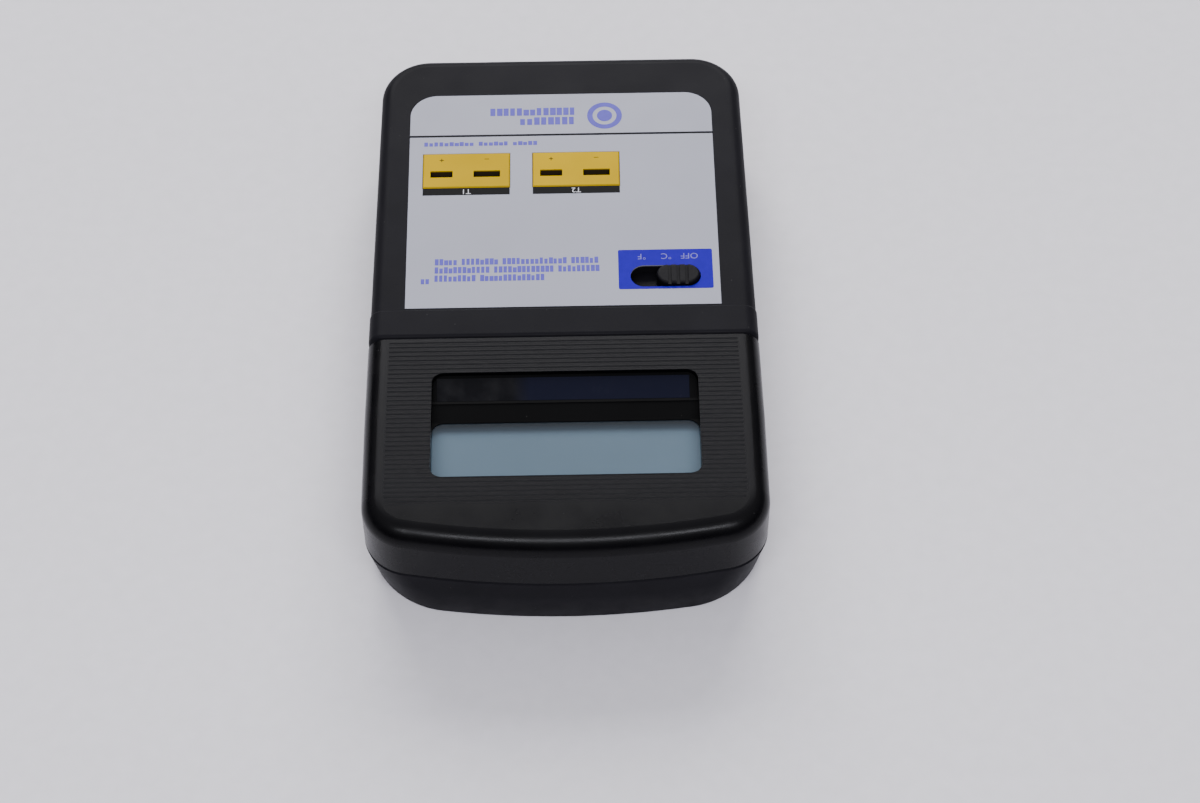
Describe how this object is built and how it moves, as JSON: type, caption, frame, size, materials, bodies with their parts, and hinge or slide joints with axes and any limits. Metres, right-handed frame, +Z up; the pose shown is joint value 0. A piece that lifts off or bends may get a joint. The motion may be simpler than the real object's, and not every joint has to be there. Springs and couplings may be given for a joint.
{
  "type": "thermocouple thermometer",
  "caption": "Pocket electronic thermometer with a raised display head, slide switch, grey label face and yellow flat-blade thermocouple sockets.",
  "frame": {"origin": "middle of the case's footprint, on the surface it lies on", "axes": "+Z up out of the face, +Y towards the socket end, -Y towards the display end, +X to the right with the display end nearest the viewer"},
  "size_m": [0.0682, 0.1104, 0.022],
  "materials": {
    "case_plastic": "charcoal, fine moulded texture",
    "cover_plastic": "charcoal, fine moulded texture, slight sheen",
    "bezel_plastic": "black, smooth",
    "tinted_plastic": "blue-black, glossy",
    "clear_window": "clear",
    "lcd_glass": "pale grey-blue, blank display",
    "elastomer": "matte",
    "holder_plastic": "black",
    "board_laminate": "green solder resist",
    "chip_plastic": "black",
    "pot_plastic": "blue",
    "crystal_can": "satin",
    "capacitor_can": "satin",
    "switch_metal": "satin",
    "knob_plastic": "black",
    "label_film": "light grey, satin",
    "socket_plastic": "yellow, satin",
    "positive_alloy": "satin nickel-chromium alloy",
    "negative_alloy": "satin nickel-aluminium alloy",
    "cell_jacket": "satin jacket over a steel can",
    "battery_contact": "nickel plated",
    "screw_steel": "zinc plated"
  },
  "bodies": {
    "case": {"lower_shell": "case_plastic", "upper_shell": "case_plastic", "display_cover": "cover_plastic", "display_bezel": "bezel_plastic", "tinted_panel": "tinted_plastic", "display_window": "clear_window", "lcd_panel": "lcd_glass", "lcd_connectors": "elastomer", "lcd_holder": "holder_plastic", "main_board": "board_laminate", "processor_chip": "chip_plastic", "amplifier_chips": "chip_plastic", "trim_pots": "pot_plastic", "timing_crystal": "crystal_can", "capacitors": "capacitor_can", "switch_body": "switch_metal", "main_label": "label_film", "brand_label": "label_film", "battery_cell_1": "cell_jacket", "battery_cell_2": "cell_jacket", "battery_positive_contacts": "battery_contact", "battery_negative_contacts": "battery_contact", "case_screws": "screw_steel", "board_screws": "screw_steel", "jack_1_body": "socket_plastic", "jack_1_positive_contact": "positive_alloy", "jack_1_negative_contact": "negative_alloy", "jack_2_body": "socket_plastic", "jack_2_positive_contact": "positive_alloy", "jack_2_negative_contact": "negative_alloy"},
    "knob": {"switch_knob": "knob_plastic"},
    "door": {"battery_door": "case_plastic"}
  },
  "joints": [
    {"name": "switch_slide", "type": "slide", "parent": "case", "child": "knob", "axis": [-1, 0, 0], "range_m": [0, 0.0044]},
    {"name": "battery_door_tilt", "type": "hinge", "parent": "case", "child": "door", "pos_m": [0, -0.02485, 0.0001], "axis": [1, 0, 0], "range_deg": [0, 75]}
  ]
}
